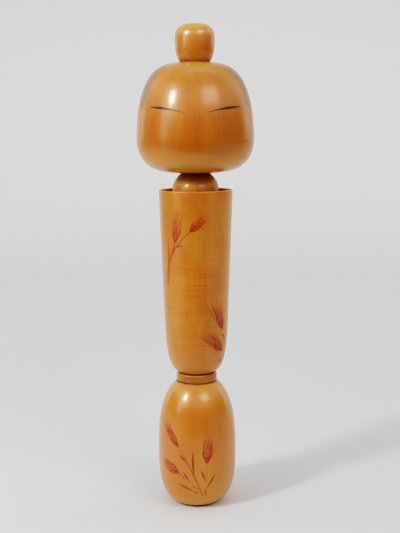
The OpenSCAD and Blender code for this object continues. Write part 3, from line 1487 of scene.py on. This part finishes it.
@dataclass
class Studio:
    """Camera, pale table and backdrop, lamps and the room's own light."""

    camera_distance: float = 609.9
    camera_height: float = 238.1
    pitch: float = 7.946
    yaw: float = 0.229
    roll: float = -0.316
    lens: float = 65.79
    sensor: float = 36.0
    table_front: float = -0.27
    table_back: float = 1.0
    sweep_radius: float = 0.5
    sweep_top: float = 2.0
    half_width: float = 1.7
    screen_radius: float = 0.80
    screen_dark: float = 0.28
    screen_top: float = 0.58
    lamps: tuple[SoftBox, ...] = (
        SoftBox("key_window", (-0.59, -0.495, 0.61), 0.11, 0.26, 56.0, (0.95, 1.0, 0.97)),
        SoftBox("fill_card", (0.548, -0.812, 0.82), 0.62, 0.52, 4.0, (1.0, 0.93, 0.84)),
        SoftBox("window_sill", (-0.68, -0.36, 0.33), 0.20, 0.34, 2.2, (0.96, 1.0, 1.0)),
    )
    response: tuple[tuple[float, float], ...] = (
        (0.0, 0.0), (0.03, 0.009), (0.08, 0.045), (0.20, 0.20), (0.45, 0.49), (0.70, 0.69), (1.0, 0.86),
    )
    wash: SoftBox = SoftBox("backdrop_wash", (0.35, 0.15, 2.1), 1.5, 0.8, 0.75)

    def build(self) -> None:
        """Makes everything around the doll."""
        self.camera()
        self.backdrop()
        self.screen()
        self.room()
        low, high = CAD_BOX
        for lamp in self.lamps:
            lamp.build((low + high) / 2)
        self.wash.build(Vector((0.0, self.table_back + self.sweep_radius, 0.6)))
        self.tone()
        log.info("studio: %d lamps", len(self.lamps))

    def tone(self) -> None:
        """Sets how the camera turns light into tones: firm shadows and soft highlights."""
        view = bpy.context.scene.view_settings
        view.view_transform = "Standard"
        view.use_curve_mapping = True
        mapping = view.curve_mapping
        mapping.use_clip = False
        curve = mapping.curves[3]
        curve.points[0].location = self.response[0]
        curve.points[-1].location = self.response[-1]
        for dark, shown in self.response[1:-1]:
            curve.points.new(dark, shown)
        mapping.update()

    def camera(self) -> None:
        """Places the camera in front of the doll, a little above its neck."""
        data = bpy.data.cameras.new("camera")
        data.sensor_width = self.sensor
        data.lens = self.lens
        camera = bpy.data.objects.new("camera", data)
        camera.location = (0.0, -self.camera_distance * MM, self.camera_height * MM)
        pitch, yaw = math.radians(self.pitch), math.radians(self.yaw)
        ahead = Vector((math.sin(yaw), math.cos(yaw) * math.cos(pitch), -math.sin(pitch)))
        camera.rotation_mode = "QUATERNION"
        level = ahead.to_track_quat("-Z", "Y")
        view_axis = (0.0, 0.0, 1.0)
        camera.rotation_quaternion = level @ Quaternion(view_axis, math.radians(self.roll))
        bpy.context.scene.collection.objects.link(camera)
        bpy.context.scene.camera = camera

    def backdrop(self) -> None:
        """Makes the table, which sweeps up behind the doll, and its front part for views from behind."""
        low = CAD_BOX[0].z
        bend = [
            (self.table_back + self.sweep_radius * math.sin(turn),
             low + self.sweep_radius * (1 - math.cos(turn)))
            for turn in (math.pi / 2 * step / 24 for step in range(25))
        ]
        wall_top = (bend[-1][0], self.sweep_top)
        self.paper_sheet("backdrop", [(self.table_front, low), (0.0, low), *bend, wall_top])
        front = self.paper_sheet("front_floor", [(-2.0 * self.half_width, low), (self.table_front, low)])
        for ray in ("diffuse", "glossy", "transmission", "volume_scatter", "shadow"):
            setattr(front, f"visible_{ray}", False)

    def paper_sheet(self, name: str, section: list[tuple[float, float]]) -> bpy.types.Object:
        """Makes one sheet of pale paper.

        Args:
            name: Name of the sheet.
            section: Depth and height along its middle line, in metres.

        Returns:
            The sheet.
        """
        verts = [(side * self.half_width, y, z) for y, z in section for side in (-1, 1)]
        faces = [(2 * i, 2 * i + 1, 2 * i + 3, 2 * i + 2) for i in range(len(section) - 1)]
        mesh = bpy.data.meshes.new(name)
        mesh.from_pydata(verts, [], faces)
        mesh.shade_smooth()
        mesh.materials.append(Paper("pale_paper", (0.725, 0.73, 0.748), 0.8).material())
        sheet = bpy.data.objects.new(name, mesh)
        bpy.context.scene.collection.objects.link(sheet)
        return sheet

    def screen(self) -> None:
        """Makes a low screen round the front, behind the camera: dark below and paler upwards."""
        turns = [math.radians(-118 + 228 * step / 40) for step in range(41)]
        reach = self.screen_radius
        rim = [(reach * math.sin(turn), -reach * math.cos(turn)) for turn in turns]
        verts = [(x, y, z) for x, y in rim for z in (-0.5, self.screen_top)]
        faces = [(2 * i, 2 * i + 2, 2 * i + 3, 2 * i + 1) for i in range(len(rim) - 1)]
        mesh = bpy.data.meshes.new("screen")
        mesh.from_pydata(verts, [], faces)
        material = bpy.data.materials.new("screen_cloth")
        material.use_nodes = True
        material.node_tree.nodes.clear()
        sheet = NodeSheet(material.node_tree)
        place = sheet.add("ShaderNodeTexCoord").outputs["Object"]
        parts = sheet.add("ShaderNodeSeparateXYZ", {0: place})
        height = parts.outputs["Z"]
        glow = sheet.smooth(height, self.screen_dark, self.screen_top)
        beside = sheet.smooth(sheet.math("ABSOLUTE", parts.outputs["X"]), 0.45, 0.60)
        skirt = sheet.math("MULTIPLY", sheet.smooth(height, 0.12, 0.07), beside)
        glow = sheet.math("MAXIMUM", glow, sheet.math("MULTIPLY", skirt, 0.6))
        cloth = sheet.add("ShaderNodeEmission", {
            "Color": sheet.mix(glow, (0.006, 0.005, 0.004), (1.0, 0.98, 0.94)), "Strength": 1.0,
        })
        sheet.add("ShaderNodeOutputMaterial", {"Surface": cloth.outputs[0]})
        mesh.materials.append(material)
        screen = bpy.data.objects.new("screen", mesh)
        screen.visible_camera = False
        bpy.context.scene.collection.objects.link(screen)

    @staticmethod
    def room() -> None:
        """Lights the room: pale walls, paler to the left, a dimmer ceiling, dark below the table."""
        world = bpy.data.worlds.new("room")
        world.use_nodes = True
        world.node_tree.nodes.clear()
        sheet = NodeSheet(world.node_tree)
        way = sheet.add("ShaderNodeSeparateXYZ", {0: sheet.add("ShaderNodeTexCoord").outputs["Generated"]})
        sides = sheet.mix(sheet.smooth(way.outputs["X"], -0.75, 0.75), (1.30, 1.32, 1.34),
                          (1.25, 1.22, 1.17))
        high = sheet.mix(sheet.smooth(way.outputs["Z"], 0.45, 0.80), sides, (0.58, 0.58, 0.58))
        above = sheet.smooth(way.outputs["Z"], -0.03, 0.02)
        colour = sheet.mix(above, (0.020, 0.016, 0.013), high)
        seen = sheet.add("ShaderNodeLightPath").outputs["Is Camera Ray"]
        shown = sheet.mix(seen, colour, (0.71, 0.71, 0.72))
        light = sheet.add("ShaderNodeBackground", {"Color": shown, "Strength": 1.0})
        sheet.add("ShaderNodeOutputWorld", {"Surface": light.outputs[0]})
        bpy.context.scene.world = world


# ---------------------------------------------------------------------------------------------
# The doll
# ---------------------------------------------------------------------------------------------

HONEY = {"deep": (0.49, 0.128, 0.009), "middle": (0.59, 0.188, 0.017), "light": (0.68, 0.255, 0.029)}
AMBER = {"deep": (0.37, 0.085, 0.005), "middle": (0.455, 0.130, 0.009), "light": (0.55, 0.195, 0.018)}
UPPER_HONEY = {"deep": (0.49, 0.140, 0.012), "middle": (0.58, 0.182, 0.020), "light": (0.67, 0.250, 0.032)}
MOTIF = (Layer.WASH, Layer.STREAK, Layer.LINE)


def lower_body() -> LowerBody:
    """Barrel with three ears of wheat rising from one root."""
    # A gold sheen is painted at the barrel's sides, with painted light on faces turned up and down; the
    # dark band at its top is a line at the ring joint, dirt and painted shade.
    piece = LowerBody(
        "lower_body", "body", "body_wood",
        Wood("lower_body_wood", **HONEY, pith=(0.034, 0.050, 0.0), painted=MOTIF,
             golden_patches=0.10, painted_sheen=0.90, joint_dirt_and_shade=(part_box("lower_body")[1].z,),
             edge_reach=0.55 * MM),
        columns=236, fine_columns=156, fine_centre=-18, fine_half_angle=50,
        fine_bands=((8.5, 60.5),), fine_pitch=0.28,
    )
    root = (8, 10)
    tall, middle, low = (-28, 42), (14, 32), (-28, 25)
    stalk = Route(tall, root, (3, 0))
    piece.ear(WheatEar(tall, (-55, 56), width=5.8, awn=1.6, spread=0.6, load=1.2, seed=3))
    piece.ear(WheatEar(middle, (17, 48), width=7.2, awn=1.8, streaks=7, spread=0.5, seed=5))
    piece.ear(WheatEar(low, (-58, 31), width=7.2, awn=2.0, spread=0.7, load=1.2, seed=8))
    piece.paint(
        stem(stalk),
        stem(Route(middle, (14, 19)), width=0.6, load=0.6),
        stem(Route(low, (-19, 21), (0, 1)), width=0.8),
        stem(Route((12, 15), (13, 10)), width=0.8),
        blade(Route((-27, 37), stalk.at(0.3)), width=1.5),
        blade(Route((-6, 39), stalk.at(0.58), (-1, 0)), width=1.5),
        blade(Route((6, 27), (12, 21)), width=1.4),
        blade(Route((26, 24), (14, 15)), width=1.25),
        blade(Route((-21, 26), (-11, 20)), width=1.45),
        blade(Route((-30, 18), (-2, 13)), width=1.3),
    )
    for height in (17, 14):
        piece.paint(stem(Route((-8, height), (3, height - 2)), width=0.7))
    return piece


def upper_body() -> UpperBody:
    """Tall body with two ears high on the left and two low on the right."""
    # A gold sheen is painted at the sides, with painted light on faces turned up and down.
    piece = UpperBody(
        "upper_body", "body", "body_wood",
        Wood("upper_body_wood", **UPPER_HONEY, pith=(-0.040, 0.038, 0.0), painted=MOTIF, tool_marks=1.0,
             cloud_strength=0.45, golden_patches=0.36, painted_sheen=0.50, varnish=0.62, varnish_roughness=0.21),
        columns=240, fine_columns=170, fine_centre=5, fine_half_angle=68,
        fine_bands=((92.5, 137.5), (144.0, 194.0)), fine_pitch=0.32,
    )
    upright, leaning = (-36, 170), (-10, 177)
    stalk = Route(leaning, (-56, 145), (-12, 0))
    piece.ear(WheatEar(upright, (-28, 187), width=6.6, awn=8.0, streaks=6, spread=1.0, load=0.95, seed=11))
    piece.ear(WheatEar(leaning, (14, 186), width=5.6, awn=2.0, streaks=6, load=1.0, seed=12))
    piece.ear(WheatEar((55, 115), (38, 129), width=7.0, awn=7.5, streaks=7, spread=1.5, load=1.15, seed=13))
    piece.ear(WheatEar((58, 101), (19, 112), width=7.2, awn=5.0, streaks=7, spread=1.2, load=1.15, seed=14))
    piece.paint(
        stem(Route(upright, stalk.at(0.42)), width=0.8),
        stem(stalk, width=0.8),
        blade(Route(stalk.at(0.3), (-22, 168), (0, 0.5)), width=1.2),
        (Layer.WASH, Stroke(Route((-51, 172), (-55, 144), (2, 0)).places(),
                            width=2.8, start=0.3, end=0.5, load=0.75)),
        (Layer.WASH, Stroke(Route(upright, stalk.at(0.7)).places(),
                            width=2.2, start=0.3, end=0.3, load=0.6)),
        (Layer.STREAK, Stroke(Route((-50, 170), (-52, 152)).places(),
                              width=0.8, start=0.3, end=0.3, load=0.55)),
        blade(Route((54, 112), (68, 107)), width=1.7),
        blade(Route((52, 95), (60, 94)), width=1.7),
    )
    # Two thin dark lines just under the rim on the right side.
    for start, width, load in (((30, 200), 0.5, 0.8), ((36, 198), 0.4, 0.5)):
        rim_line = Route(start, (53, start[1] - 1))
        piece.paint((Layer.LINE, Stroke(rim_line.places(), width, start=0.2, end=0.2, load=load)))
    return piece


def head() -> Head:
    """Head with two long closed eyes, a worn nose and a thin hair wash."""
    # The chin and other faces turned down are painted paler as painted bounce light, the dome gets a
    # painted brown-gold tint as light from above, and the sides a painted gold sheen.
    piece = Head(
        "head", "head", "head_wood",
        Wood("head_wood", **AMBER, pith=(0.060, 0.052, 0.0), painted_underside_light=0.75,
             painted_crown_light=0.65, crown_colour=BROWN_GOLD,
             golden_patches=0.10, specular=0.60, varnish=0.60, painted=(Layer.LINE, Layer.EYE), hair=True),
        columns=350, fine_columns=262, fine_half_angle=52,
        fine_bands=((244.5, 254.5),), fine_pitch=0.2, softness=0.35,
    )
    outer, inner = 50, 11
    for side in (-1, 1):
        lid = Route((side * outer, 252), (side * inner, 248.5), (0, 0.7))
        piece.paint((Layer.EYE, Stroke(lid.places(), width=1.5, start=0.3, end=0.2, belly=0.34)))
    nose = Route((-2, 246), (2, 246))
    piece.paint((Layer.LINE, Stroke(nose.places(), width=1.3, start=0.6, end=0.6, load=0.42)))
    return piece


def pieces() -> list[TurnedPiece]:
    """All turned pieces from the foot up."""
    # The ring gets a faint painted sheen and painted light on faces turned up and down; its lower dark band
    # is a line at the joint, dirt and painted shade.
    ring = Wood("ring_wood", deep=(0.32, 0.105, 0.010), middle=(0.40, 0.145, 0.018),
                light=(0.48, 0.185, 0.028), joint_dirt_and_shade=(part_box("waist_ring")[0].z,), edge_reach=0.8 * MM,
                specular=0.60, varnish=0.50, painted_sheen=0.3)
    # The neck ball gets a faint painted sheen and painted light on faces turned up and down.
    neck = Wood("neck_wood", deep=(0.32, 0.088, 0.004), middle=(0.40, 0.120, 0.007),
                light=(0.48, 0.16, 0.012), pith=(0.028, 0.030, 0.0), roughness=0.45,
                specular=0.50, varnish=0.48, painted_sheen=0.3)
    # The topknot's wide dark band at its foot is painted shade where it sits on the dome; it also gets a
    # painted sheen and painted light on its top.
    knot = Wood("topknot_wood", **AMBER, pith=(0.022, 0.026, 0.0), painted_underside_light=0.0, painted_crown_light=0.35,
                joint_dirt_and_shade=(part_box("topknot")[0].z,), edge_reach=2.4 * MM, edge_strength=0.55)
    return [
        lower_body(),
        WaistRing("waist_ring", "body", "ring_wood", ring),
        upper_body(),
        NeckBall("neck_ball", "body", "head_wood", neck),
        head(),
        Topknot("topknot", "head", "head_wood", knot),
    ]


def dress_dowels() -> None:
    """Gives the hidden dowels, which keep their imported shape, bare sanded wood."""
    bare = Wood("dowel_wood", deep=(0.42, 0.27, 0.13), middle=(0.56, 0.40, 0.21), light=(0.66, 0.50, 0.30),
                varnish=0.0, roughness=0.62).material()
    for node in ("waist_dowel", "neck_dowel", "topknot_dowel"):
        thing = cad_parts[node]
        thing.data.materials.clear()
        thing.data.materials.append(bare)
        log.info("%s: packed shape, bare wood", node)


def main() -> None:
    """Builds the studio and the doll."""
    logging.basicConfig(level=logging.INFO, format="%(name)s %(message)s")
    Studio().build()
    for piece in pieces():
        piece.build()
    dress_dowels()


if __name__ == "__main__":
    main()
